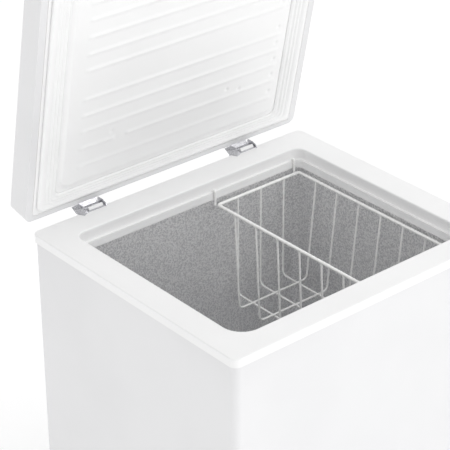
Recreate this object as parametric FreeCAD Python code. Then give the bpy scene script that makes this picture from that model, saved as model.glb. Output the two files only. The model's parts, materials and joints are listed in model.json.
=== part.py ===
import FreeCAD, Part
import math
import os
from FreeCAD import Vector as V

# Chest freezer of the 100 litre class, standing with its lid open.
# Everything is drawn from the front left corner of the worktop rim: x to the right, y to the
# back, z up from the floor, in millimetres. save() moves it so that the origin is on the
# floor under the middle of the whole object, lid included.

# Cabinet
width = 574.0            # rim, outside
depth = 492.0            # rim, outside
rim_z = 795.0            # rim top above the floor
rim_skirt = 14.4         # height of the rim's outer edge
rim_overhang = 5.5       # rim stands proud of the sheet steel
open_x0, open_x1 = 48.0, 525.0
open_y0, open_y1 = 45.7, 441.0
collar_depth = 34.0
ledge_z = rim_z - 20.5   # shelf that the basket hooks hang on
ledge_w = 4.5
sheet = 0.7
base_z = 32.0            # underside of the base plate
floor_z = 95.0           # inside floor of the storage space
hump_x, hump_z = 318.0, 352.0
comp_x, comp_z = 345.0, 296.0   # compressor compartment: left wall and ceiling

# Lid
lid_angle = 78.7         # opening angle from closed
axis_y, axis_z = 501.5, rim_z - 2.9
lid_gap = 6.1
lid_thick = 44.0
lid_front = -4.0
lid_back = 492.1
panel_h = 10.0           # raised middle of the lid liner
hinge_x = (90.0, 414.0)  # left edge of each hinge
hinge_w = 50.0
pin_r = 2.5

# Basket
bk_x0, bk_x1 = 332.9, 516.1
bk_y0, bk_y1 = 62.0, 428.8
bk_z = rim_z - 42.0
rail_r = 2.75
wire_r = 1.75
cross_y = (385.4, 333.2, 280.4, 228.1, 176.6, 126.4, 77.0)
long_x = (377.1, 428.3, 481.0)
cross_drop, long_drop = 187.0, 190.7

# Halfway between the rim's front and the rearmost corner of the open lid: see save().
y_middle = 275.46


def box(x0, x1, y0, y1, z0, z1):
    return Part.makeBox(x1 - x0, y1 - y0, z1 - z0, V(x0, y0, z0))


def prism(x0, x1, y0, y1, z0, z1, r):
    """Upright block with rounded corners; r is one radius or front-left, front-right,
    back-right, back-left."""
    fl, fr, br, bl = (r,) * 4 if not isinstance(r, tuple) else r
    corners = [(x0, y0, fl, 1, 1), (x1, y0, fr, -1, 1), (x1, y1, br, -1, -1), (x0, y1, bl, 1, -1)]
    edges, ends = [], []
    for i, (cx, cy, rad, sx, sy) in enumerate(corners):
        along_x, along_y = V(cx + sx * rad, cy, z0), V(cx, cy + sy * rad, z0)
        first, last = (along_y, along_x) if i % 2 == 0 else (along_x, along_y)
        k = rad * (1 - math.sqrt(0.5))
        mid = V(cx + sx * k, cy + sy * k, z0)
        ends.append((first, last))
        edges.append(Part.Arc(first, mid, last).toShape())
    for i in range(4):
        edges.append(Part.makeLine(ends[i][1], ends[(i + 1) % 4][0]))
    wire = Part.Wire(Part.__sortEdges__(edges))
    return Part.Face(wire).extrude(V(0, 0, z1 - z0))


def profile_x(points, x0, x1):
    """Outline in y and z, pushed along x."""
    pts = [V(x0, y, z) for y, z in points]
    return Part.Face(Part.makePolygon(pts + [pts[0]])).extrude(V(x1 - x0, 0, 0))


def rod(p, q, r):
    d = V(*q) - V(*p)
    return Part.makeCylinder(r, d.Length, V(*p), d)


def bent_wire(points, bend, r, closed=False):
    """Round bar or tube along straight runs joined by bends."""
    pts = [V(*p) for p in points]
    n = len(pts)
    starts, edges = {}, []
    turns = range(n) if closed else range(1, n - 1)
    for i in turns:
        a, b, c = pts[i - 1], pts[i], pts[(i + 1) % n]
        u, w = (a - b).normalize(), (c - b).normalize()
        half = math.acos(max(-1.0, min(1.0, u.dot(w)))) / 2
        cut = bend / math.tan(half)
        centre = b + (u + w).normalize() * (bend / math.sin(half))
        mid = centre + (b - centre).normalize() * bend
        starts[i] = (b + u * cut, mid, b + w * cut)
    runs = range(n) if closed else range(n - 1)
    for i in runs:
        j = (i + 1) % n
        p = starts[i][2] if i in starts else pts[i]
        q = starts[j][0] if j in starts else pts[j]
        edges.append(Part.makeLine(p, q))
        if j in starts:
            edges.append(Part.Arc(*starts[j]).toShape())
    path = Part.Wire(edges)
    start = edges[0].Vertexes[0].Point
    ring = Part.Wire(Part.makeCircle(r, start, edges[0].tangentAt(edges[0].FirstParameter)))
    return path.makePipeShell([ring], True, False)


def joined(shapes):
    body = shapes[0]
    for s in shapes[1:]:
        body = body.fuse(s)
    return body.removeSplitter()


def hung(shape):
    """From the closed lid to the open one."""
    s = shape.copy()
    s.rotate(V(0, axis_y, axis_z), V(1, 0, 0), -lid_angle)
    return s


def save(name, shape):
    s = shape.copy()
    s.translate(V(-width / 2, -y_middle, 0))
    s.exportStep(os.path.join("parts", name + ".step"))
    b = s.BoundBox
    print("%-24s solids %2d vol %10.0f  x %7.1f %7.1f  y %7.1f %7.1f  z %7.1f %7.1f" % (
        name, len(s.Solids), s.Volume, b.XMin, b.XMax, b.YMin, b.YMax, b.ZMin, b.ZMax))


os.makedirs("parts", exist_ok=True)

# --- Cooling pipes: their paths are needed by the foam and the compartment wall ---
pipe_r = 3.5
ev_off = 4.6
ex0, ex1 = open_x0 - sheet - ev_off, open_x1 + sheet + ev_off
ey0, ey1 = open_y0 - sheet - ev_off, open_y1 + sheet + ev_off
ev_heights = [400 + 55 * i for i in range(7)]
ev_points = [(505, ey1, 262), (505, ey1, ev_heights[0])]
for k, z in enumerate(ev_heights[:-1]):
    ev_points += [(ex0, ey1, z), (ex0, ey0, z), (ex1, ey0, ev_heights[k + 1]), (ex1, ey1, ev_heights[k + 1])]
ev_points.append((120, ey1, ev_heights[-1]))
evaporator = bent_wire(ev_points, 14, pipe_r)

side_l, side_r = rim_overhang + sheet + pipe_r + 0.2, width - rim_overhang - sheet - pipe_r - 0.2
front_y = rim_overhang + sheet + pipe_r + 0.2
run_y = [430 - 62 * i for i in range(7)]
co_points = [(side_r, run_y[0], 262), (side_r, run_y[0], 715)]
for i in range(1, 7):
    pair = [(side_r, run_y[i], 715), (side_r, run_y[i], 325)]
    co_points += pair if i % 2 else pair[::-1]
co_points += [(side_r, front_y, 715), (side_l, front_y, 715), (side_l, run_y[6], 715)]
co_points.append((side_l, run_y[6], 120))
for i in range(5, -1, -1):
    pair = [(side_l, run_y[i], 120), (side_l, run_y[i], 715)]
    co_points += pair if i % 2 else pair[::-1]
co_points = co_points[:-1] + [(side_l, run_y[0], 60), (side_l, 470, 60), (372, 470, 60)]
condenser = bent_wire(co_points, 12, pipe_r)
save("evaporator_coil", evaporator)
save("condenser_coil", condenser)

# --- Cabinet sheet metal ---
o = rim_overhang
shell_top = rim_z - 3.2
shell = prism(o, width - o, o, depth - o, base_z, shell_top, (12, 12, 3, 3))
inside = prism(o + sheet, width - o - sheet, o + sheet, depth - o, base_z, shell_top, (11, 11, 2, 2))
shell = shell.cut(inside).cut(box(o + sheet + 0.1, width - o - sheet - 0.1, depth - o - 3, depth, 0, rim_z))
panel_x0, panel_x1, panel_z0, panel_z1 = 404.0, 544.0, 52.0, 122.0
shell = shell.cut(box(panel_x0, panel_x1, 0, 12, panel_z0, panel_z1))
vent_y0, vent_y1, vent_z0, vent_z1 = 250.0, 430.0, 80.0, 240.0
shell = shell.cut(box(width - 12, width, vent_y0, vent_y1, vent_z0, vent_z1))
drain_x, drain_z = 96.0, 62.0
shell = shell.cut(rod((drain_x, 0, drain_z), (drain_x, 12, drain_z), 9.2))
save("outer_shell", shell)

bx0, bx1, by0, by1 = o + sheet + 0.3, width - o - sheet - 0.3, depth - o - sheet, depth - o
back = box(bx0, bx1, by0, by1, base_z, shell_top).cut(box(351, bx1 + 1, by0 - 1, by1 + 1, base_z, 288))
hinge_screw_xz = [(x + dx, rim_z - 60) for x in hinge_x for dx in (20, hinge_w - 2)]
for x, z in hinge_screw_xz:
    back = back.cut(rod((x, by0 - 1, z), (x, by1 + 1, z), 2.2))
save("back_panel", back)

cover = box(351.4, bx1, by0, by1, base_z + 1, 287.6)
for row in range(9):
    for x in (372, 430, 488):
        cover = cover.cut(box(x, x + 42, by0 - 1, by1 + 1, 70 + row * 20, 75 + row * 20))
for x, z in ((359, 44), (560, 44), (359, 280), (560, 280)):
    cover = cover.cut(rod((x, by0 - 1, z), (x, by1 + 1, z), 2.2))
cover = cover.cut(rod((540, by0 - 1, 262), (540, by1 + 1, 262), 6.0))
save("rear_cover", cover)

screws = []
for x, z in ((359, 44), (560, 44), (359, 280), (560, 280)):
    screws.append(joined([rod((x, by1 - 12, z), (x, by1 + 0.05, z), 2.0),
                          rod((x, by1 + 0.05, z), (x, by1 + 2.3, z), 4.2)]))
save("rear_cover_screws", Part.makeCompound(screws))

base = box(bx0, bx1, o + 12, by0 - 0.2, base_z + 0.2, base_z + 1.7)
feet_xy = [(34, 34), (width - 34, 34), (34, 466), (width - 34, 466)]
grommet_xy = [(384, 330), (526, 330), (384, 452), (526, 452)]
for x, y in feet_xy:
    base = base.cut(rod((x, y, 0), (x, y, 50), 4.1))
for x, y in grommet_xy:
    base = base.cut(rod((x, y, 0), (x, y, 50), 3.1))
save("base_plate", base)

feet = []
for x, y in feet_xy:
    feet.append(joined([Part.makeCone(18, 16, 8, V(x, y, 0)), rod((x, y, 8), (x, y, base_z), 12),
                        rod((x, y, base_z), (x, y, base_z + 9), 4.0)]))
save("feet", Part.makeCompound(feet))

wall = box(comp_x, comp_x + sheet, o + 12, by0 - 0.3, base_z + 1.9, comp_z)
roof = box(comp_x, bx1, o + 12, by0 - 0.3, comp_z - sheet, comp_z)
partition = joined([wall, roof])
partition = partition.cut(rod((505, ey1, comp_z - 5), (505, ey1, comp_z + 5), 4.2))
partition = partition.cut(rod((side_r, run_y[0], comp_z - 5), (side_r, run_y[0], comp_z + 5), 4.2))
partition = partition.cut(rod((comp_x - 5, 470, 60), (comp_x + 5, 470, 60), 4.2))
save("compartment_wall", partition)


# --- Storage liner: embossed aluminium, one sheet wrapped round the four walls and one folded
# over the floor and the step above the compressor ---
def tub(off, z_top):
    body = prism(open_x0 - off, open_x1 + off, open_y0 - off, open_y1 + off, floor_z - off, z_top, 12 + off)
    return body.cut(box(hump_x + off, width, 0, depth, 0, hump_z - off))


liner_top = rim_z - collar_depth
plug_x, plug_y = drain_x, 120.0
wall_sheet = prism(open_x0 - sheet, open_x1 + sheet, open_y0 - sheet, open_y1 + sheet, floor_z - sheet,
                   liner_top, 12 + sheet)
wall_sheet = wall_sheet.cut(prism(open_x0, open_x1, open_y0, open_y1, 0, liner_top + 1, 12))
wall_sheet = wall_sheet.cut(box(hump_x + sheet, width, 0, depth, 0, hump_z - sheet))
save("liner_walls", wall_sheet)
pan = prism(open_x0 + 0.1, open_x1 - 0.1, open_y0 + 0.1, open_y1 - 0.1, floor_z - sheet, hump_z, 11.9)
pan = pan.cut(box(0, hump_x, 0, depth, floor_z, rim_z))
pan = pan.cut(box(hump_x + sheet, width, 0, depth, 0, hump_z - sheet))
pan = pan.cut(rod((plug_x, plug_y, 80), (plug_x, plug_y, 110), 9.2))
save("liner_floor", pan)


# --- Worktop rim: moulded collar with a hanging ledge ---
def opening(off, z0, z1):
    return prism(open_x0 + off, open_x1 - off, open_y0 + off, open_y1 - off, z0, z1,
                 (35 - off, 35 - off, 18 - off, 18 - off))


top = prism(0, width, 0, depth, rim_z - 3, rim_z, 13)
top = top.makeFillet(2.2, [e for e in top.Edges if abs(e.BoundBox.ZMin - rim_z) < 1e-6
                           and abs(e.BoundBox.ZMax - rim_z) < 1e-6])
skirt = prism(0, width, 0, depth, rim_z - rim_skirt, rim_z - 3, 13)
skirt = skirt.cut(prism(2.4, width - 2.4, 2.4, depth - 2.4, rim_z - rim_skirt, rim_z - 3, 10.6))
collar = opening(-3, ledge_z, rim_z - 3)
ledge = opening(-3, rim_z - collar_depth, ledge_z)
rim = joined([top, skirt, collar, ledge]).cut(opening(0, ledge_z, rim_z + 1))
rim = rim.cut(opening(ledge_w, 0, rim_z))
mouth = [e for e in rim.Edges if abs(e.BoundBox.ZMin - rim_z) < 1e-6 and abs(e.BoundBox.ZMax - rim_z) < 1e-6
         and e.BoundBox.XMin > 20 and e.BoundBox.XMax < width - 20 and e.BoundBox.YMin > 20
         and e.BoundBox.YMax < depth - 20]
rim = rim.makeFillet(2.6, mouth)
save("top_frame", rim)

# --- Foam between the steel and the liner ---
foam = prism(bx0, bx1, o + sheet + 0.1, by0 - 0.1, base_z + 2.0, rim_z - 3.2, (11.2, 11.2, 2.2, 2.2))
foam = foam.cut(tub(sheet, liner_top)).cut(opening(-3.0, rim_z - collar_depth, rim_z + 1))
foam = foam.cut(box(comp_x - 0.1, width, 0, depth, 0, comp_z + 0.1))
foam = foam.cut(evaporator).cut(condenser)
for x, y in feet_xy:
    foam = foam.cut(rod((x, y, 0), (x, y, base_z + 12), 6))
foam = foam.cut(rod((drain_x, 0, drain_z), (drain_x, plug_y + 12.4, drain_z), 12.4))
foam = foam.cut(rod((plug_x, plug_y, drain_z), (plug_x, plug_y, 96), 12.4))
for x, z in hinge_screw_xz:
    foam = foam.cut(rod((x, 474, z), (x, depth, z), 2.3))
save("cabinet_foam", foam)

# --- Drain ---
spout = joined([rod((drain_x, 3.5, drain_z), (drain_x, plug_y + 10, drain_z), 9.0),
                rod((plug_x, plug_y, drain_z), (plug_x, plug_y, floor_z - 0.1), 9.0),
                rod((drain_x, 3.5, drain_z), (drain_x, 5.4, drain_z), 13.0),
                rod((plug_x, plug_y, floor_z + 0.05), (plug_x, plug_y, floor_z + 1.6), 14.0),
                rod((plug_x, plug_y, floor_z - 0.2), (plug_x, plug_y, floor_z + 0.1), 9.0)])
spout = spout.cut(rod((drain_x, 0, drain_z), (drain_x, plug_y, drain_z), 7.0))
spout = spout.cut(rod((plug_x, plug_y, drain_z), (plug_x, plug_y, 110), 7.0))
save("drain_pipe", spout)
cap = joined([rod((drain_x, 0.6, drain_z), (drain_x, 3.2, drain_z), 14.0),
              rod((drain_x, 3.2, drain_z), (drain_x, 16, drain_z), 6.7),
              box(drain_x - 11, drain_x + 11, 0.2, 0.8, drain_z - 1.6, drain_z + 1.6)])
save("drain_cap", cap)
plug = joined([rod((plug_x, plug_y, floor_z - 14), (plug_x, plug_y, floor_z + 1.9), 6.7),
               rod((plug_x, plug_y, floor_z + 1.9), (plug_x, plug_y, floor_z + 5), 12),
               rod((plug_x, plug_y, floor_z + 5), (plug_x, plug_y, floor_z + 13), 3.5),
               rod((plug_x, plug_y, floor_z + 12), (plug_x, plug_y, floor_z + 15), 6)])
save("drain_plug", plug)

# --- Compressor group ---
cx, cy = 455.0, 391.0
lower = Part.makeCylinder(70, 85, V(cx, cy, 56))
lower = lower.makeFillet(24, [e for e in lower.Edges if e.BoundBox.ZMax < 57])
upper = Part.makeCylinder(67, 80, V(cx, cy, 141))
upper = upper.makeFillet(34, [e for e in upper.Edges if e.BoundBox.ZMin > 220])
legs = prism(372, 538, 318, 464, 50, 53, 14)
post = Part.makeCylinder(40, 5, V(cx, cy, 52))
body = joined([lower, Part.makeCylinder(73, 4, V(cx, cy, 139)), upper, legs, post])
body = body.cut(Part.makeCylinder(58, 105, V(cx, cy, 74)))
for x, y in grommet_xy:
    body = body.cut(rod((x, y, 40), (x, y, 60), 6.1))
save("compressor", body)
grommets, bolts = [], []
for x, y in grommet_xy:
    g = joined([rod((x, y, base_z + 1.8), (x, y, 49.9), 10), rod((x, y, 49.9), (x, y, 53.2), 6.0),
                rod((x, y, 53.2), (x, y, 56), 9)])
    grommets.append(g.cut(rod((x, y, 0), (x, y, 70), 3.1)))
    bolts.append(joined([rod((x, y, base_z - 3), (x, y, 56.1), 3.0), rod((x, y, 56.1), (x, y, 60), 6.0)]))
save("compressor_grommets", Part.makeCompound(grommets))
save("compressor_bolts", Part.makeCompound(bolts))
relay = box(366, 392, 360, 418, 84, 136)
relay = relay.makeFillet(4, [e for e in relay.Edges if e.BoundBox.XMax < 367]).cut(
    Part.makeCylinder(70.3, 300, V(cx, cy, 0)))
save("relay_cover", relay)
drier = joined([rod((362, 470, 110), (362, 470, 190), 8), Part.makeCone(8, 3, 8, V(362, 470, 190)),
                Part.makeCone(3.5, 8, 8, V(362, 470, 102))])
save("filter_drier", drier)
discharge = bent_wire([(cx + 74.0, cy - 10, 120), (552, cy - 10, 120), (552, cy - 10, 245),
                       (side_r, run_y[0], 245), (side_r, run_y[0], 261.6)], 6, 2.5)
suction = bent_wire([(505, ey1, 261.6), (505, ey1, 236), (cx + 10, cy + 20, 236),
                     (cx + 10, cy + 20, 221.4)], 6, 2.8)
liquid = bent_wire([(372.3, 470, 60), (380, 470, 60), (380, 470, 84), (362, 470, 84),
                    (362, 470, 101.8)], 5, 2.5)
capillary = bent_wire([(362, 470, 198.2), (362, 470, 240), (395, 470, 240), (395, 470, 200), (425, 470, 200),
                       (425, 470, 280)], 7, 1.0)
save("refrigerant_lines", Part.makeCompound([discharge, suction, liquid]))
save("capillary_tube", capillary)

# --- Controls, vent and cord inlet ---
bezel = box(panel_x0 - 4, panel_x1 + 4, o - 1.8, o - 0.1, panel_z0 - 4, panel_z1 + 4)
bezel = bezel.makeFillet(1.2, [e for e in bezel.Edges if e.BoundBox.YMax < o - 1.7])
dish = box(panel_x0 + 0.4, panel_x1 - 0.4, o - 0.1, 24, panel_z0 + 0.4, panel_z1 - 0.4)
bezel = joined([bezel, dish]).cut(box(panel_x0 + 3, panel_x1 - 3, 0, 21, panel_z0 + 3, panel_z1 - 3))
knob_x, knob_z = 512.0, 87.0
bezel = bezel.cut(rod((knob_x, 0, knob_z), (knob_x, 30, knob_z), 4.2))
lamp_x = (420.0, 440.0, 460.0)
for x in lamp_x:
    bezel = bezel.cut(rod((x, 0, knob_z), (x, 30, knob_z), 3.1))
save("control_panel", bezel)
save("indicator_lenses", Part.makeCompound([
    joined([rod((x, 19.2, knob_z), (x, 28, knob_z), 3.0), rod((x, 18.2, knob_z), (x, 20.9, knob_z), 4.2)])
    for x in lamp_x]))
knob = Part.makeCylinder(19, 13, V(knob_x, 4.6, knob_z), V(0, 1, 0))
knob = knob.makeFillet(2, [e for e in knob.Edges if e.BoundBox.YMax < 5])
knob = joined([knob, rod((knob_x, 17, knob_z), (knob_x, 33, knob_z), 2.8),
               box(knob_x - 2.5, knob_x + 2.5, 2.4, 8, knob_z - 16, knob_z + 16)])
save("thermostat_knob", knob)
stat = box(knob_x - 26, knob_x + 26, 24.3, 62, knob_z - 18, knob_z + 22).cut(
    rod((knob_x, 20, knob_z), (knob_x, 34, knob_z), 2.85))
save("thermostat", stat)

grille = box(width - o - 0.1 + 0.2, width - o + 2.2, vent_y0 - 5, vent_y1 + 5, vent_z0 - 5, vent_z1 + 5)
grille = grille.makeFillet(1.2, [e for e in grille.Edges if e.BoundBox.XMin > width - o + 2.1])
grille = joined([grille, box(width - o - 6, width - o + 0.2, vent_y0 + 0.4, vent_y1 - 0.4,
                             vent_z0 + 0.4, vent_z1 - 0.4)])
for row in range(11):
    z = vent_z0 + 8 + row * 13.4
    grille = grille.cut(box(width - 20, width, vent_y0 + 10, vent_y1 - 10, z, z + 6.5))
save("vent_grille", grille)

gland = joined([rod((540, by0 - 10, 262), (540, by1 + 0.05, 262), 5.8),
                rod((540, by1 + 0.05, 262), (540, by1 + 5, 262), 9)])
gland = gland.cut(rod((540, by0 - 20, 262), (540, by1 + 20, 262), 3.6))
save("cord_inlet", gland)

# --- Hinges: bracket on the cabinet, leaf on the lid ---
ay, az = axis_y, axis_z


def ribbon(x, line):
    """Section of the bracket's side apron at x: a line in y and z, 0.7 mm thick."""
    pts = [V(x, y, rim_z + z) for y, z in line] + [V(x, y, rim_z + z - 0.7) for y, z in line[::-1]]
    return Part.makePolygon(pts + [pts[0]])


for side, x in zip(("left", "right"), hinge_x):
    xr = x + hinge_w
    inner_l, inner_r = x + 15.5, xr + 3.0
    bent = [(486.0, rim_z), (486.0, rim_z + 1.5), (494.2, rim_z + 1.5), (494.2, rim_z - 18.5),
            (488.7, rim_z - 18.5), (488.7, rim_z - 96), (486.7, rim_z - 96), (486.7, rim_z - 16.5),
            (492.3, rim_z - 16.5), (492.3, rim_z)]
    plate = profile_x(bent, inner_l - 1.5, inner_r + 2)
    ear = [(483.8, rim_z), (484.6, rim_z + 1.0), (485.7, rim_z + 2.9), (487.0, rim_z + 4.4),
           (489.0, rim_z + 5.3), (492.0, rim_z + 5.7)]
    for deg in range(136, 121, -3):
        ear.append((ay + 12.6 * math.cos(math.radians(deg)), az + 12.6 * math.sin(math.radians(deg))))
    ear += [(508.0, rim_z + 7.6), (511.0, az - 6), (511.0, rim_z - 88), (507.0, rim_z - 94),
            (487.5, rim_z - 94), (487.5, rim_z - 17.2), (493.0, rim_z - 17.2), (493.0, rim_z)]
    cheeks = [profile_x(ear, inner_l - 1.5, inner_l), profile_x(ear, inner_r, inner_r + 2)]
    apron = Part.makeLoft([
        ribbon(x, [(506.8, 7.4), (503, 5.4), (499.5, 3.5), (497, 2.1), (495, 1.2), (493.6, 0.8)]),
        ribbon(x + 7, [(507.4, 7.7), (500, 6.4), (493.5, 4.2), (488.5, 2.4), (484, 1.2), (480.6, 0.8)]),
        ribbon(x + 14.2, [(507.8, 7.6), (499.5, 7.6), (495, 6.9), (490.5, 5.1), (487.2, 3.8), (484.4, 0.9)]),
    ], True, True)
    shelf = box(inner_l - 1, inner_r + 1, 488.0, 510.5, rim_z - 88, rim_z - 86)
    bracket = joined([plate] + cheeks + [apron, shelf])
    bracket = bracket.cut(rod((x - 5, ay, az), (xr + 9, ay, az), pin_r + 0.05))
    for dx in (20, hinge_w - 2):
        bracket = bracket.cut(rod((x + dx, 480, rim_z - 60), (x + dx, 492, rim_z - 60), 2.2))
    save("hinge_bracket_" + side, bracket)
    save("hinge_pad_" + side, profile_x([(488.3, rim_z + 1.55), (490.9, rim_z + 5.6), (492.2, rim_z + 5.6),
                                         (493.4, rim_z + 3.6), (493.4, rim_z + 1.55)], x + 22, xr))
    pin = joined([rod((inner_l - 3.0, ay, az), (inner_r + 3.2, ay, az), pin_r),
                  rod((inner_l - 4.6, ay, az), (inner_l - 1.55, ay, az), 4.0),
                  rod((inner_r + 2.05, ay, az), (inner_r + 4.8, ay, az), 4.0)])
    save("hinge_pin_" + side, pin)
    turns = 8
    coil_h = 54.0
    helix = Part.makeHelix(coil_h / turns, coil_h, 8.0)
    ring = Part.Wire(Part.makeCircle(1.4, V(8.0, 0, 0), V(0, 1, 0)))
    spring = Part.Wire(helix).makePipeShell([ring], True, True)
    mid_x = (inner_l + inner_r) / 2
    spring.translate(V(mid_x, 500.0, rim_z - 84.4))
    save("hinge_spring_" + side, spring)
    rider = joined([rod((mid_x, 500.0, rim_z - 28.4), (mid_x, 500.0, rim_z - 25), 10.2),
                    box(inner_l + 4, inner_r - 4, 494.6, 509.0, rim_z - 25, rim_z - 16)])
    rider = rider.cut(rod((x, ay, az), (xr + 9, ay, az), 9.2))
    save("spring_rider_" + side, rider)
    x0, x1 = x + 0.4, xr - 0.4
    leaf = joined([box(x0, x1, lid_back + 0.1, lid_back + 2.1, rim_z + 7.8, rim_z + 46),
                   profile_x([(lid_back + 0.1, rim_z + 9), (lid_back + 2.1, rim_z + 9), (504.5, rim_z + 1.5),
                              (499.0, rim_z - 1.0), (lid_back + 0.1, rim_z + 6.4)], inner_l + 0.4, x1),
                   rod((inner_l + 0.4, ay, az), (inner_r - 0.4, ay, az), 5.4)])
    leaf = leaf.cut(rod((x, ay, az), (xr + 9, ay, az), pin_r + 0.06))
    for dx in (12, hinge_w - 12):
        for dz in (20, 36):
            leaf = leaf.cut(rod((x + dx, lid_back, rim_z + dz), (x + dx, lid_back + 3, rim_z + dz), 2.2))
    save("hinge_leaf_" + side, hung(leaf))

bracket_screws = [joined([rod((x, 476, z), (x, 488.75, z), 2.0), rod((x, 488.75, z), (x, 490.8, z), 3.8)])
                  for x, z in hinge_screw_xz]
leaf_screws = []
for x in hinge_x:
    for dx in (12, hinge_w - 12):
        for dz in (20, 36):
            y1 = lid_back + 2.15
            leaf_screws.append(joined([rod((x + dx, y1 - 12, rim_z + dz), (x + dx, y1, rim_z + dz), 2.0),
                                       rod((x + dx, y1, rim_z + dz), (x + dx, y1 + 2.0, rim_z + dz), 3.8)]))
save("hinge_bracket_screws", Part.makeCompound(bracket_screws))
save("hinge_leaf_screws", hung(Part.makeCompound(leaf_screws)))

# --- Lid ---
lz0, lz1 = rim_z + lid_gap, rim_z + lid_gap + lid_thick
lid = prism(0, width, lid_front, lid_back, lz0, lz1, 13)
lid = lid.makeFillet(4.0, [e for e in lid.Edges if e.BoundBox.ZMin > lz1 - 0.01])
lid_core = prism(0.8, width - 0.8, lid_front + 0.8, lid_back - 0.8, lz0 - 1, lz1 - 0.8, 12.2)
lid_core = lid_core.makeFillet(3.2, [e for e in lid_core.Edges if e.BoundBox.ZMin > lz1 - 0.81])
lid_skin = lid.cut(lid_core)
lip = prism(0.6, width - 0.6, lid_front + 0.6, lid_back - 0.6, lz0, lz0 + 1.2, 12.4).cut(
    prism(13, width - 13, lid_front + 13, lid_back - 9, lz0 - 1, lz0 + 3, 8))
lid_skin = joined([lid_skin, lip])
grip = box(200, 374, lid_front - 1, lid_front + 17, lz0 - 1, lz0 + 16)
lid_skin = lid_skin.cut(grip)
hole_y = lid_back - 12
for x in hinge_x:
    for dx in (12, hinge_w - 12):
        for dz in (20, 36):
            hole = rod((x + dx, hole_y, rim_z + dz), (x + dx, lid_back + 3, rim_z + dz), 2.1)
            lid_skin = lid_skin.cut(hole)
save("lid_shell", hung(lid_skin))

# Vacuum-formed liner of the lid: flat margin, raised middle, ribs across
m0, m1 = 13.4, width - 13.4
n0, n1 = lid_front + 13.4, lid_back - 9.4
flat = prism(m0, m1, n0, n1, lz0, lz0 + 1.2, 7.6)
px0, px1, py0, py1 = 56.0, 517.0, open_y0 + 6.0, lid_back - 46.0


def raised(grow, low):
    bottom = prism(px0 - grow, px1 + grow, py0 - grow, py1 + grow, lz0, lz0 + 0.01, 20 + grow)
    tip = prism(px0 + 4 - grow, px1 - 4 + grow, py0 + 8 - grow, py1 - 12 + grow, lz0 - low, lz0 - low + 0.01,
                16 + grow)
    return Part.makeLoft([bottom.Faces[-2].OuterWire, tip.Faces[-2].OuterWire], True)


dome = raised(0, panel_h)
rib_s = (81.5, 116, 148, 178, 208.5, 262, 291.5, 322, 353, 383, 413)
ribs = []
for s in rib_s:
    y = lid_back - s
    ribs.append(profile_x([(y - 6, lz0 - panel_h + 0.5), (y - 2.2, lz0 - panel_h - 1.6),
                           (y + 2.2, lz0 - panel_h - 1.6), (y + 6, lz0 - panel_h + 0.5)], 88, 502))
hollow = raised(-1.2, panel_h - 1.2)
lid_liner = joined([flat, dome] + ribs).cut(hollow)
hollow_top = prism(px0 + 1.2, px1 - 1.2, py0 + 1.2, py1 - 1.2, lz0 - 0.01, lz0 + 2, 18.8)
lid_liner = lid_liner.cut(hollow_top)
save("lid_liner", hung(lid_liner))

lid_foam = prism(1.4, width - 1.4, lid_front + 1.4, lid_back - 1.4, lz0 + 1.4, lz1 - 1.4, 11.6)
lid_foam = lid_foam.makeFillet(3.0, [e for e in lid_foam.Edges if e.BoundBox.ZMin > lz1 - 1.41])
lid_foam = joined([lid_foam, prism(px0 + 2, px1 - 2, py0 + 2, py1 - 2, lz0 + 0.2, lz0 + 2, 18)])
lid_foam = lid_foam.cut(box(196, 378, lid_front, lid_front + 18, lz0, lz0 + 20))
for x in hinge_x:
    for dx in (12, hinge_w - 12):
        for dz in (20, 36):
            hole = rod((x + dx, hole_y, rim_z + dz), (x + dx, lid_back + 3, rim_z + dz), 2.3)
            lid_foam = lid_foam.cut(hole)
save("lid_foam", hung(lid_foam))

gasket = prism(17, width - 17, lid_front + 17, lid_back - 14, rim_z + 0.35, lz0 - 0.05, 9)
gasket = gasket.cut(prism(33, width - 33, lid_front + 33, lid_back - 30, rim_z, lz0, 5))
save("lid_gasket", hung(gasket))

handle = box(200.5, 373.5, lid_front + 0.2, lid_front + 16, lz0 + 1.3, lz0 + 15.6).cut(
    box(203, 371, lid_front - 1, lid_front + 14, lz0 - 1, lz0 + 13))
save("lid_handle", hung(handle))

# --- Basket ---
save("basket_rail", bent_wire([(bk_x0, bk_y0, bk_z), (bk_x1, bk_y0, bk_z), (bk_x1, bk_y1, bk_z),
                               (bk_x0, bk_y1, bk_z)], 4.5, rail_r, closed=True))
wire_top = bk_z - rail_r - 0.05
cross = [bent_wire([(bk_x0, y, wire_top), (bk_x0 + 10.2, y, bk_z - cross_drop),
                    (bk_x1 - 17.7, y, bk_z - cross_drop), (bk_x1, y, wire_top)], 11, wire_r)
         for y in cross_y]
save("basket_cross_wires", Part.makeCompound(cross))
lengthwise = [bent_wire([(x, bk_y1, wire_top), (x, bk_y1 - 1.0, bk_z - long_drop),
                         (x, bk_y0 + 1.0, bk_z - long_drop), (x, bk_y0, wire_top)], 11, wire_r)
              for x in long_x]
save("basket_long_wires", Part.makeCompound(lengthwise))
hooks = []
hook_r, crest = 2.0, rim_z - 17.4
for x, rail_y, out, wall_y in ((331, bk_y1, 1, open_y1), (509, bk_y1, 1, open_y1),
                               (345, bk_y0, -1, open_y0), (490, bk_y0, -1, open_y0)):
    leg_y = rail_y + out * (rail_r + hook_r + 0.05)
    tip_y = wall_y - out * (hook_r + 0.8)
    hooks.append(bent_wire([(x, leg_y, bk_z - 2), (x, leg_y, crest), (x, tip_y, crest),
                            (x, tip_y, ledge_z + 0.3)], abs(tip_y - leg_y) / 2 - 0.02, hook_r))
save("basket_hooks", Part.makeCompound(hooks))
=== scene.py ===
import json
import math

import bmesh
import bpy
from mathutils import Matrix, Vector


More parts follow.
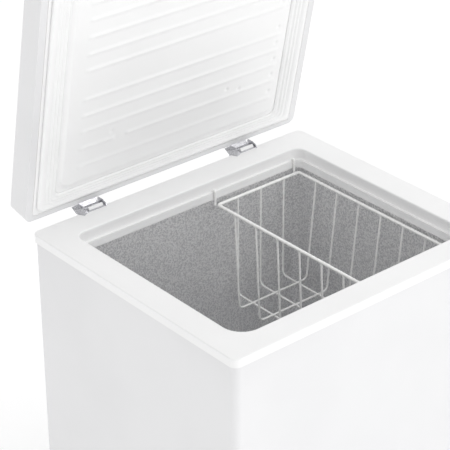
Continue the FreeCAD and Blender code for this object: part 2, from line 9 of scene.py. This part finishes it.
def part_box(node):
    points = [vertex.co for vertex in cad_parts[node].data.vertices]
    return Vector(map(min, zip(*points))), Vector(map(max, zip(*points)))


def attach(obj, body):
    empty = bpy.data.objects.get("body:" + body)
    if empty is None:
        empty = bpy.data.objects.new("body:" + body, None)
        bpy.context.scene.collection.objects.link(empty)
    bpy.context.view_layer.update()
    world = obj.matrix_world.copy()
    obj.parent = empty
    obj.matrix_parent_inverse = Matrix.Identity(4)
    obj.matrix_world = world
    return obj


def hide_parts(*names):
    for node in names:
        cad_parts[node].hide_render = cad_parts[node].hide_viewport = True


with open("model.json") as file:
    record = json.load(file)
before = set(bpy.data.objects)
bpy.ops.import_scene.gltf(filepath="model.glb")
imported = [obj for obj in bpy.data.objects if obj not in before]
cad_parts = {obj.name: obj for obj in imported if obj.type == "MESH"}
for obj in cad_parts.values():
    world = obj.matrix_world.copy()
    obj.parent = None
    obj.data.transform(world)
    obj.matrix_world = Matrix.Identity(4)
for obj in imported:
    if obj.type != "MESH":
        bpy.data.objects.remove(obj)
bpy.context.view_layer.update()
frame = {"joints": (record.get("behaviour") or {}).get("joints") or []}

# Outer shell: one sheet of steel folded round the front and sides, powder coated white.
# The coat flows out to a soft gloss and keeps a faint orange peel, about 3 mm from bump to bump.


def linear(code):
    """An sRGB hex colour as the linear colour that a shader takes."""
    values = [int(code[i:i + 2], 16) / 255 for i in (1, 3, 5)]
    return tuple(v / 12.92 if v <= 0.04045 else ((v + 0.055) / 1.055) ** 2.4 for v in values) + (1.0,)


def add(material, kind, links=None, **settings):
    """Adds a node to a material. Settings are properties or sockets; links are socket to output."""
    new = material.node_tree.nodes.new(kind)
    for name, value in settings.items():
        if hasattr(new, name):
            setattr(new, name, value)
        else:
            new.inputs[name.replace("_", " ")].default_value = value
    for socket, output in (links or {}).items():
        material.node_tree.links.new(new.inputs[socket], output)
    return new


def start(name, **sockets):
    """A material with its shader and output, and the Object coordinates of its piece."""
    material = bpy.data.materials.new(name)
    material.use_nodes = True
    material.node_tree.nodes.clear()
    shader = add(material, "ShaderNodeBsdfPrincipled")
    for socket, value in sockets.items():
        shader.inputs[socket.replace("_", " ")].default_value = value
    add(material, "ShaderNodeOutputMaterial", {"Surface": shader.outputs[0]})
    place = add(material, "ShaderNodeTexCoord").outputs["Object"]
    return material, shader, place


def grain(material, place, millimetres, detail=3.0, stretch=(1, 1, 1)):
    """Noise whose lumps are so many millimetres apart; stretch draws them out along an axis."""
    mapped = add(material, "ShaderNodeMapping", {"Vector": place}, Scale=[1 / s for s in stretch])
    noise = add(material, "ShaderNodeTexNoise", {"Vector": mapped.outputs[0]},
                Scale=1000 / millimetres, Detail=detail)
    return noise.outputs[0]


def between(material, factor, dark, pale, low=0.35, high=0.65):
    """A colour that goes from dark to pale as the factor goes from low to high."""
    ramp = add(material, "ShaderNodeValToRGB", {"Fac": factor})
    first, last = ramp.color_ramp.elements
    first.position, first.color = low, linear(dark)
    last.position, last.color = high, linear(pale)
    return ramp.outputs[0]


def rough(material, factor, least, most):
    """A roughness that varies with the factor."""
    return add(material, "ShaderNodeMapRange", {0: factor}, From_Min=0.3, From_Max=0.7,
               To_Min=least, To_Max=most).outputs[0]


def relief(material, height, millimetres, strength=1.0, under=None):
    """Turns a height into bumps so many millimetres deep, over earlier ones if given."""
    links = {"Height": height}
    if under is not None:
        links["Normal"] = under
    return add(material, "ShaderNodeBump", links, Distance=millimetres / 1000, Strength=strength).outputs[0]


def dress(material, shader, **outputs):
    """Joins finished outputs to the shader's sockets."""
    for socket, output in outputs.items():
        material.node_tree.links.new(shader.inputs[socket.replace("_", " ")], output)


def coat(material, *names):
    """Gives the material to pieces or CAD nodes."""
    for name in names:
        piece = bpy.data.objects[name]
        piece.data.materials.clear()
        piece.data.materials.append(material)


powder, shader, place = start("powder_coated_steel", Roughness=0.3, IOR=1.5)
peel = grain(powder, place, 3.0, 1.0)
haze = grain(powder, place, 180.0, 2.0)
dress(powder, shader, Base_Color=between(powder, haze, "#e9e9ea", "#ececed"),
      Roughness=rough(powder, haze, 0.29, 0.32), Normal=relief(powder, peel, 0.02, 0.35))
coat(powder, "outer_shell", "lid_shell")

# Worktop rim: one injection-moulded ABS frame that clips over the steel and carries the ledge for
# the basket. It has a fine spark texture that breaks up the gloss, and shallow steps in its throat.
rim_low, rim_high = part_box("top_frame")
rim_z = rim_high.z
step_spacing, step_depth = 6.0, 0.18      # mm, of the shallow steps in the throat

abs_white, shader, place = start("spark_textured_abs", IOR=1.53)
spark = grain(abs_white, place, 0.9, 2.0)
cloud = grain(abs_white, place, 120.0, 2.0)
depth_below = add(abs_white, "ShaderNodeSeparateXYZ", {"Vector": place}).outputs["Z"]
steps = add(abs_white, "ShaderNodeMath", {0: depth_below}, operation="PINGPONG")
half_step = step_spacing / 2000
steps.inputs[1].default_value = half_step
throat = relief(abs_white, steps.outputs[0], step_depth / half_step, 0.5)
dress(abs_white, shader, Base_Color=between(abs_white, cloud, "#f7f7f7", "#fafafa"),
      Roughness=rough(abs_white, cloud, 0.3, 0.42), Normal=relief(abs_white, spark, 0.03, 0.3, throat))
coat(abs_white, "top_frame")

moulding, shader, place = start("moulded_abs", IOR=1.53)
spark = grain(moulding, place, 0.8, 2.0)
cloud = grain(moulding, place, 60.0, 2.0)
dress(moulding, shader, Base_Color=between(moulding, cloud, "#ececed", "#f2f2f2"),
      Roughness=rough(moulding, cloud, 0.3, 0.45), Normal=relief(moulding, spark, 0.03, 0.3))
coat(moulding, "control_panel", "vent_grille", "lid_handle", "drain_pipe", "drain_cap", "thermostat_knob",
     "hinge_pad_left", "hinge_pad_right")

# Storage liner: two aluminium sheets rolled with a stucco emboss, one wrapped round the walls and
# one folded over the floor. The lumps are 3 to 4 mm apart and each catches the light on its own;
# the finer lumps also carry painted glints, their colour paler the higher they stand.
stucco, shader, place = start("stucco_embossed_aluminium", Metallic=0.6)
lumps = add(stucco, "ShaderNodeTexVoronoi", {"Vector": place}, feature="SMOOTH_F1", Scale=1000 / 3.6,
            Randomness=1.0).outputs["Distance"]
fine_lumps_and_glints = grain(stucco, place, 2.6, 2.0)
wrinkle = relief(stucco, lumps, 0.5, 0.8, relief(stucco, fine_lumps_and_glints, 0.4, 0.8))
# Painted glints: the colour runs from grey to white with the height of the fine lumps.
dress(stucco, shader, Base_Color=between(stucco, fine_lumps_and_glints, "#dcdcde", "#ffffff", 0.4, 0.6),
      Roughness=rough(stucco, fine_lumps_and_glints, 0.34, 0.46), Normal=wrinkle)
coat(stucco, "liner_walls", "liner_floor")

# Lid liner: one sheet of white polystyrene, vacuum formed with a raised middle, soft ribs across
# it and small dents, and satin from the mould. It is drawn with the lid shut, its ribs and dents
# placed from the lid's back edge, and then swung open about the hinge.
hinge = next(j for j in frame["joints"] if j["name"] == "lid_hinge")
hinge_point = Vector(hinge["pos_m"])
opening_angle = math.radians(hinge["range_deg"][1])
swing_open = (Matrix.Translation(hinge_point)
              @ Matrix.Rotation(-opening_angle, 4, Vector(hinge["axis"]))
              @ Matrix.Translation(-hinge_point))
left, right, front, back = rim_low.x, rim_high.x, rim_low.y, rim_high.y
gap_over_rim = 0.0061
lid_back = back + 0.0001
lid_front = front - 0.004
lid_face = rim_z + gap_over_rim

sheet_x = (left + 0.0136, right - 0.0136)
sheet_y = (lid_front + 0.0136, lid_back - 0.0096)
sheet_thickness = 0.001
cells_across, cells_deep = 206, 214
panel_drop = 0.0058
panel_x = (left + 0.058, right - 0.058)
panel_y = (front + 0.053, lid_back - 0.038)
panel_corner, corner_blend = 0.026, 0.05
side_wall, front_wall, back_wall = 0.0055, 0.009, 0.018
rib_from_back = (0.0815, 0.116, 0.148, 0.178, 0.2085, 0.262, 0.2915, 0.322, 0.353, 0.383, 0.413)
rib_ends, rib_run_out = (left + 0.088, right - 0.072), 0.008
rib_height, rib_width, rib_reach = 0.0015, 0.0031, 3
broken_rib = rib_from_back[1]
rib_break, break_run_out = (left + 0.158, left + 0.186), 0.004
dent_radius, dent_depth = 0.0045, 0.0022
dents_from_back = (0.095, 0.129, 0.160, 0.192, 0.223, 0.273, 0.304, 0.336, 0.368)
dents = [(left + 0.492, place_of_dent) for place_of_dent in dents_from_back]
dents += [(left + 0.394, 0.130), (left + 0.1545, 0.130), (left + 0.421, 0.1225)]


def smooth(t):
    """Rises gently from 0 to 1 as t does, and is level beyond."""
    t = min(max(t, 0.0), 1.0)
    return t * t * (3 - 2 * t)


def wall_width(x, y):
    """How wide the leaning wall round the raised middle is, blended from side to side at the corners."""
    to_side = min(x - panel_x[0], panel_x[1] - x)
    back_share = smooth(0.5 + (to_side - panel_y[1] + y) / corner_blend)
    front_share = smooth(0.5 + (to_side + panel_y[0] - y) / corner_blend)
    return side_wall + (back_wall - side_wall) * back_share + (front_wall - side_wall) * front_share


def inside_panel(x, y):
    """How far a point is inside the rounded outline of the raised middle."""
    half_x, half_y = (panel_x[1] - panel_x[0]) / 2, (panel_y[1] - panel_y[0]) / 2
    dx = abs(x - sum(panel_x) / 2) - half_x + panel_corner
    dy = abs(y - sum(panel_y) / 2) - half_y + panel_corner
    outside = math.hypot(max(dx, 0), max(dy, 0)) + min(max(dx, dy), 0)
    return panel_corner - outside


def liner_depth(x, y):
    """How far the liner's face stands below the lid's edge, with the lid shut."""
    depth = panel_drop * smooth(inside_panel(x, y) / wall_width(x, y))
    from_back = lid_back - y
    along = smooth((x - rib_ends[0]) / rib_run_out) * smooth((rib_ends[1] - x) / rib_run_out)
    broken = smooth((x - rib_break[0]) / break_run_out) * smooth((rib_break[1] - x) / break_run_out)
    for place_of_rib in rib_from_back:
        off = (from_back - place_of_rib) / rib_width
        if abs(off) < rib_reach:
            whole = along * (1 - broken) if place_of_rib == broken_rib else along
            depth += whole * rib_height * math.exp(-off * off)
    for dent_x, place_of_dent in dents:
        near = math.hypot(x - dent_x, from_back - place_of_dent)
        if near < dent_radius:
            depth -= dent_depth * (1 - smooth(near / dent_radius))
    return depth


def piece_from(bm, name, body, slot, *replaced):
    """Turns a finished bmesh into a smooth-shaded piece that rides on a body."""
    data = bpy.data.meshes.new(name)
    bm.to_mesh(data)
    bm.free()
    data.shade_smooth()
    piece = bpy.data.objects.new(name, data)
    bpy.context.scene.collection.objects.link(piece)
    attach(piece, body)
    if replaced:
        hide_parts(*replaced)
    return piece


bm = bmesh.new()
bmesh.ops.create_grid(bm, x_segments=cells_across, y_segments=cells_deep, size=1)
for v in bm.verts:
    x = sheet_x[0] + (v.co.x + 1) / 2 * (sheet_x[1] - sheet_x[0])
    y = sheet_y[0] + (v.co.y + 1) / 2 * (sheet_y[1] - sheet_y[0])
    v.co = (x, y, lid_face - liner_depth(x, y))
bmesh.ops.reverse_faces(bm, faces=bm.faces)
bmesh.ops.transform(bm, matrix=swing_open, verts=bm.verts)
lid_sheet = piece_from(bm, "lid_liner_formed", "lid", "white_hips", "lid_liner")
wall = lid_sheet.modifiers.new("sheet thickness", "SOLIDIFY")
wall.thickness = sheet_thickness
wall.offset = -1

styrene, shader, place = start("vacuum_formed_polystyrene", IOR=1.58)
chill = grain(styrene, place, 9.0, 2.0)
cloud = grain(styrene, place, 140.0, 2.0)
dress(styrene, shader, Base_Color=between(styrene, cloud, "#fbfbfb", "#fefefe"),
      Roughness=rough(styrene, cloud, 0.3, 0.42), Normal=relief(styrene, chill, 0.05, 0.25))
coat(styrene, "lid_liner_formed")

# Lid gasket: an extruded PVC bellows with a magnet strip in its outer bead, pressed in round the
# lid. Its folds show as fine lines all the way round. Each point of the fold is its place inwards
# and its depth below the lid's face, in metres.
gasket_out = (left + 0.0195, right - 0.0195, lid_front + 0.0195, lid_back - 0.0165)
gasket_fold = ((0.0, 0.0006), (0.0, 0.0042), (0.0014, 0.0056), (0.0040, 0.0058), (0.0110, 0.0057),
               (0.0128, 0.0040), (0.0142, 0.0040), (0.0162, 0.0053), (0.0182, 0.0052), (0.0200, 0.0033),
               (0.0214, 0.0033), (0.0234, 0.0045), (0.0254, 0.0044), (0.0272, 0.0024), (0.0286, 0.0024),
               (0.0306, 0.0033), (0.0326, 0.0030), (0.0352, 0.0012), (0.0362, 0.0003))
gasket_corner, corner_segments = 0.012, 6
rear_share = 0.58        # of the width of the folds is left at the back, where there is less room
middle_shift = (1 - rear_share) / 2


def rounded_loop(bm, x0, x1, y0, y1, z, radius):
    """A level rounded rectangle, as its closed loop of edges."""
    before = set(bm.faces)
    made = bmesh.ops.create_grid(bm, x_segments=1, y_segments=1, size=1)["verts"]
    for v in made:
        v.co = (x0 if v.co.x < 0 else x1, y0 if v.co.y < 0 else y1, z)
    bmesh.ops.bevel(bm, geom=made, offset=radius, affect="VERTICES", segments=corner_segments,
                    profile=0.5, material=-1)
    face = next(f for f in bm.faces if f not in before)
    edges = list(face.edges)
    bmesh.ops.delete(bm, geom=[face], context="FACES_ONLY")
    return edges


bm = bmesh.new()
ring = rounded_loop(bm, *gasket_out, lid_face, gasket_corner)
centre = Vector(((gasket_out[0] + gasket_out[1]) / 2, (gasket_out[2] + gasket_out[3]) / 2, 0))
was = gasket_fold[0]
bmesh.ops.translate(bm, vec=(0, 0, -was[1]), verts=bm.verts)
half_x, half_y = gasket_out[1] - centre.x, gasket_out[3] - centre.y
for now in gasket_fold[1:] + gasket_fold[:1]:
    grown = bmesh.ops.extrude_edge_only(bm, edges=ring)["geom"]
    ring = [part for part in grown if isinstance(part, bmesh.types.BMEdge) and part.is_boundary]
    moved = list({v for edge in ring for v in edge.verts})
    middle = centre + Vector((0, middle_shift * was[0], 0))
    ratio_x = (half_x - now[0]) / (half_x - was[0])
    ratio_y = (half_y - now[0] * (1 - middle_shift)) / (half_y - was[0] * (1 - middle_shift))
    bmesh.ops.scale(bm, vec=(ratio_x, ratio_y, 1), space=Matrix.Translation(-middle), verts=moved)
    bmesh.ops.translate(bm, vec=(0, middle_shift * (now[0] - was[0]), was[1] - now[1]), verts=moved)
    was = now
bmesh.ops.remove_doubles(bm, verts=bm.verts, dist=1e-5)
bmesh.ops.recalc_face_normals(bm, faces=bm.faces)
bmesh.ops.transform(bm, matrix=swing_open, verts=bm.verts)
piece_from(bm, "lid_gasket_bellows", "lid", "white_vinyl", "lid_gasket")

vinyl, shader, place = start("extruded_soft_pvc", IOR=1.53)
skin = grain(vinyl, place, 1.2, 2.0)
cloud = grain(vinyl, place, 70.0, 2.0)
dress(vinyl, shader, Base_Color=between(vinyl, cloud, "#fafafa", "#fdfdfd"),
      Roughness=rough(vinyl, cloud, 0.4, 0.55), Normal=relief(vinyl, skin, 0.03, 0.25))
coat(vinyl, "lid_gasket_bellows")

# Hinges: brackets and leaves pressed from zinc-plated steel strip, with drawing lines along the
# strip, pins and screws of bright zinc, coil springs of hard drawn wire and nylon riders.
zinc, shader, place = start("zinc_plated_strip", Metallic=1.0)
drawn = grain(zinc, place, 0.7, 3.0, (18, 1, 1))
patch = grain(zinc, place, 6.0, 2.0)
dress(zinc, shader, Base_Color=between(zinc, drawn, "#b4b4b8", "#dcdce0"),
      Roughness=rough(zinc, patch, 0.22, 0.4), Normal=relief(zinc, drawn, 0.04, 0.5))
coat(zinc, "hinge_bracket_left", "hinge_bracket_right", "hinge_leaf_left", "hinge_leaf_right")

bright, shader, place = start("bright_zinc_plate", Metallic=1.0)
patch = grain(bright, place, 1.5, 3.0)
dress(bright, shader, Base_Color=between(bright, patch, "#bfc2c6", "#dfe1e4"),
      Roughness=rough(bright, patch, 0.18, 0.36), Normal=relief(bright, patch, 0.02, 0.4))
coat(bright, "hinge_pin_left", "hinge_pin_right", "hinge_bracket_screws", "hinge_leaf_screws",
     "compressor_bolts", "rear_cover_screws")

spring_wire, shader, place = start("oiled_spring_wire", Metallic=1.0)
drawn = grain(spring_wire, place, 0.8, 3.0)
dress(spring_wire, shader, Base_Color=between(spring_wire, drawn, "#55565a", "#85868a"),
      Roughness=rough(spring_wire, drawn, 0.28, 0.45), Normal=relief(spring_wire, drawn, 0.03, 0.4))
coat(spring_wire, "hinge_spring_left", "hinge_spring_right")

nylon, shader, place = start("moulded_grey_nylon", IOR=1.53)
cloud = grain(nylon, place, 1.4, 3.0)
dress(nylon, shader, Base_Color=between(nylon, cloud, "#8b8d90", "#a2a4a6"),
      Roughness=rough(nylon, cloud, 0.45, 0.62), Normal=relief(nylon, cloud, 0.04, 0.3))
coat(nylon, "spring_rider_left", "spring_rider_right", "thermostat")

# Basket: steel wires butt-welded to a heavier rail, then dipped in white polyethylene. The coat
# gathers into a small bead at each weld and rounds off the crossings.
dipped, shader, place = start("dip_coated_wire", IOR=1.51)
flow = grain(dipped, place, 7.0, 2.0)
dress(dipped, shader, Base_Color=between(dipped, flow, "#fafaf8", "#fefefd"),
      Roughness=rough(dipped, flow, 0.22, 0.34), Normal=relief(dipped, flow, 0.12, 0.35))
coat(dipped, "basket_rail", "basket_cross_wires", "basket_long_wires", "basket_hooks")

rail_low, rail_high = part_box("basket_rail")
rail_r, wire_r = 0.00275, 0.00175
bead_r, bead_flattened = 0.0024, 0.85
cross_places = [rail_low.y + rail_r + mm / 1000 for mm in (15.0, 64.4, 114.6, 166.1, 218.4, 271.2, 323.4)]
long_places = [rail_low.x + rail_r + mm / 1000 for mm in (44.2, 95.4, 148.1)]
weld_z = rail_low.z - 0.0004       # just under the rail, where each wire meets it
grid_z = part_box("basket_long_wires")[0].z + 2 * wire_r
welds = [(x, y, weld_z) for y in cross_places for x in (rail_low.x + rail_r, rail_high.x - rail_r)]
welds += [(x, y, weld_z) for x in long_places for y in (rail_low.y + rail_r, rail_high.y - rail_r)]
welds += [(x, y, grid_z) for x in long_places for y in cross_places]
bm = bmesh.new()
for spot in welds:
    bead = bmesh.ops.create_icosphere(bm, subdivisions=2, radius=bead_r)["verts"]
    bmesh.ops.scale(bm, vec=(1, 1, bead_flattened), verts=bead)
    bmesh.ops.translate(bm, vec=spot, verts=bead)
piece_from(bm, "basket_weld_beads", "basket", "coated_wire")
coat(dipped, "basket_weld_beads")

# Back: a zinc-coated steel sheet and a louvred cover of the same stock, with the base plate and
# the wall of the compressor's compartment. The coating freezes in spangles 10 to 15 mm across.
spangled, shader, place = start("spangled_galvanised_sheet", Metallic=1.0)
spangle = add(spangled, "ShaderNodeTexVoronoi", {"Vector": place}, Scale=1000 / 12.0, Randomness=1.0)
speck = add(spangled, "ShaderNodeSeparateColor", {"Color": spangle.outputs["Color"]}).outputs[0]
brushed = grain(spangled, place, 1.0, 3.0)
dress(spangled, shader, Base_Color=between(spangled, speck, "#aeb1b5", "#c1c4c8", 0.0, 1.0),
      Roughness=rough(spangled, speck, 0.34, 0.46), Normal=relief(spangled, brushed, 0.02, 0.3))
coat(spangled, "back_panel", "rear_cover", "base_plate", "compartment_wall")

# Cooling system: compressor shell of black enamelled steel on rubber mounts, copper lines and a
# drier brazed to it, the condenser in painted steel tube and the evaporator in aluminium tube.
enamel, shader, place = start("black_stove_enamel", IOR=1.5)
peel = grain(enamel, place, 2.2, 2.0)
dust = grain(enamel, place, 45.0, 3.0)
dress(enamel, shader, Base_Color=between(enamel, dust, "#17181a", "#26272a"),
      Roughness=rough(enamel, dust, 0.2, 0.42), Normal=relief(enamel, peel, 0.05, 0.5))
coat(enamel, "compressor")

copper, shader, place = start("drawn_copper_tube", Metallic=1.0)
tarnish = grain(copper, place, 14.0, 4.0)
dress(copper, shader, Base_Color=between(copper, tarnish, "#9c5a3c", "#d08a66"),
      Roughness=rough(copper, tarnish, 0.22, 0.45), Normal=relief(copper, tarnish, 0.05, 0.3))
coat(copper, "filter_drier", "refrigerant_lines", "capillary_tube")

painted_tube, shader, place = start("black_painted_steel_tube", IOR=1.5)
flow = grain(painted_tube, place, 5.0, 2.0)
dress(painted_tube, shader, Base_Color=between(painted_tube, flow, "#1b1c1e", "#2c2d30"),
      Roughness=rough(painted_tube, flow, 0.35, 0.5), Normal=relief(painted_tube, flow, 0.05, 0.3))
coat(painted_tube, "condenser_coil")

soft_tube, shader, place = start("annealed_aluminium_tube", Metallic=1.0)
drawn = grain(soft_tube, place, 2.0, 3.0)
dress(soft_tube, shader, Base_Color=between(soft_tube, drawn, "#a7a9ac", "#cbcdd0"),
      Roughness=rough(soft_tube, drawn, 0.3, 0.48), Normal=relief(soft_tube, drawn, 0.03, 0.3))
coat(soft_tube, "evaporator_coil")

rubber, shader, place = start("moulded_black_rubber", IOR=1.52)
bloom = grain(rubber, place, 1.6, 3.0)
dress(rubber, shader, Base_Color=between(rubber, bloom, "#1a1a1b", "#2b2b2c"),
      Roughness=rough(rubber, bloom, 0.6, 0.8), Normal=relief(rubber, bloom, 0.06, 0.5))
coat(rubber, "compressor_grommets", "drain_plug", "cord_inlet")

black_case, shader, place = start("moulded_black_polypropylene", IOR=1.49)
leather = grain(black_case, place, 1.1, 2.0)
dress(black_case, shader, Base_Color=between(black_case, leather, "#1d1e1f", "#2d2e30"),
      Roughness=rough(black_case, leather, 0.42, 0.6), Normal=relief(black_case, leather, 0.05, 0.5))
coat(black_case, "relay_cover", "feet")

# Insulation: polyurethane foamed in place between the steel and the liners, so it fills every
# hollow and sticks the walls together. Its cut face is pale yellow with fine closed cells.
foam, shader, place = start("poured_polyurethane_foam", IOR=1.45, Roughness=0.9)
cells = add(foam, "ShaderNodeTexVoronoi", {"Vector": place}, Scale=1000 / 1.4, Randomness=1.0)
cloud = grain(foam, place, 30.0, 3.0)
dress(foam, shader, Base_Color=between(foam, cloud, "#e2d096", "#f0e3b6"),
      Normal=relief(foam, cells.outputs["Distance"], 0.3, 0.5))
coat(foam, "cabinet_foam", "lid_foam")

# Lamps: three clear green polycarbonate lenses, each a flat round head on a stem that is pressed
# into the control panel from the front. The head is smooth and takes a sharp highlight.
lens, shader, place = start("green_polycarbonate", IOR=1.58, Transmission_Weight=0.35)
cloud = grain(lens, place, 2.5, 2.0)
dress(lens, shader, Base_Color=between(lens, cloud, "#4fae5c", "#7fd489"),
      Roughness=rough(lens, cloud, 0.08, 0.16))
coat(lens, "indicator_lenses")

# Dial: grey inked ticks round the knob, with a longer one at each end of its 270 degree turn.
# Their plane is 5.6 mm behind the control panel's recessed face, so the panel hides them.
knob_low, knob_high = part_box("thermostat_knob")
knob_centre = (knob_low + knob_high) / 2
tick_setback = 0.0229
tick_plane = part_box("control_panel")[0].y + tick_setback
turn_limit = next(j for j in frame["joints"] if j["name"] == "thermostat_turn")["range_deg"][1]
ticks = 11
tick_width, tick_height, tick_edge = 0.0008, 0.0006, 0.00012
long_tick, short_tick = 0.0045, 0.0028
tick_circle = 0.0222
at_knob = Matrix.Translation((knob_centre.x, tick_plane, knob_centre.z))
bm = bmesh.new()
for number in range(ticks):
    angle = math.radians(number * turn_limit / (ticks - 1) - turn_limit / 2)
    length = long_tick if number in (0, ticks - 1) else short_tick
    bmesh.ops.create_cube(bm, size=1, matrix=at_knob @ Matrix.Rotation(angle, 4, "Y")
                          @ Matrix.Translation((0, 0, tick_circle))
                          @ Matrix.Diagonal((tick_width, tick_height, length, 1)))
bmesh.ops.bevel(bm, geom=bm.edges[:], offset=tick_edge, affect="EDGES", segments=1, profile=0.5,
                material=-1)
piece_from(bm, "dial_ticks", "cabinet", "white_abs")
ink, shader, place = start("grey_marking_ink", IOR=1.5)
wear = grain(ink, place, 0.9, 3.0)
dress(ink, shader, Base_Color=between(ink, wear, "#6c6e70", "#85878a"),
      Roughness=rough(ink, wear, 0.45, 0.6))
coat(ink, "dial_ticks")

# Studio: a pale seamless paper floor, and even daylight that is a little stronger from the right.
# Three square soft lights stand in front: a large one, one aimed at the lid, one at the left corner.
floor_half = 30
floor_mesh = bmesh.new()
bmesh.ops.create_grid(floor_mesh, x_segments=1, y_segments=1, size=floor_half)
floor_data = bpy.data.meshes.new("floor")
floor_mesh.to_mesh(floor_data)
floor_mesh.free()
floor = bpy.data.objects.new("floor", floor_data)
bpy.context.scene.collection.objects.link(floor)
pale, shader, place = start("seamless_paper", Roughness=0.9, Emission_Strength=0.2,
                            Emission_Color=linear("#ffffff"))
fibre = grain(pale, place, 4.0, 2.0)
dress(pale, shader, Base_Color=between(pale, fibre, "#fbfbfb", "#fdfdfd"))
coat(pale, "floor")

world = bpy.data.worlds.new("daylight")
world.use_nodes = True
sky = world.node_tree.nodes["Background"]
sky.inputs["Color"].default_value = (1, 1, 1, 1)
direction = add(world, "ShaderNodeTexCoord").outputs["Generated"]
rightward = add(world, "ShaderNodeSeparateXYZ", {"Vector": direction}).outputs["X"]
fall = add(world, "ShaderNodeMapRange", {0: rightward}, From_Min=-1.0, From_Max=1.0,
           To_Min=0.68, To_Max=1.0)
world.node_tree.links.new(sky.inputs["Strength"], fall.outputs[0])
bpy.context.scene.world = world


def soft_light(name, spot, target, side, watts):
    """A square area light at a spot, facing a target."""
    lamp = bpy.data.lights.new(name, "AREA")
    lamp.shape = "SQUARE"
    lamp.size = side
    lamp.energy = watts
    holder = bpy.data.objects.new(name, lamp)
    holder.matrix_world = (Matrix.Translation(spot)
                           @ (Vector(target) - Vector(spot)).to_track_quat("-Z", "Y").to_matrix().to_4x4())
    bpy.context.scene.collection.objects.link(holder)


soft_light("front softbox", (0.8, -2.5, 2.9), (0, 0.1, 1.0), 1.6, 10)
soft_light("lid softbox", (1.0, -1.7, 1.9), (0, 0.2, 1.1), 1.0, 3.5)
soft_light("corner softbox", (-2.0, -2.6, 2.1), (-0.1, 0, 0.8), 1.1, 5)
bpy.context.scene.view_settings.view_transform = "Standard"

# Camera: a long lens from the front left and above, which looks down into the storage space and at
# the inside of the open lid. It is tilted by a fifth of a degree.
camera_spot = Vector((-1.68705, -1.89871, 2.19537))
azimuth, elevation, roll = math.radians(40.428), math.radians(-28.867), math.radians(-0.194)
forward = Vector((math.cos(elevation) * math.sin(azimuth), math.cos(elevation) * math.cos(azimuth),
                  math.sin(elevation)))
level = forward.cross(Vector((0, 0, 1))).normalized()
upright = level.cross(forward)
across = level * math.cos(roll) + upright * math.sin(roll)
above = upright * math.cos(roll) - level * math.sin(roll)
camera_data = bpy.data.cameras.new("camera")
camera_data.lens = 146
camera_data.sensor_width = 36
camera = bpy.data.objects.new("camera", camera_data)
turn = Matrix((across, above, -forward)).transposed().to_4x4()
camera.matrix_world = Matrix.Translation(camera_spot) @ turn
bpy.context.scene.collection.objects.link(camera)
bpy.context.scene.camera = camera
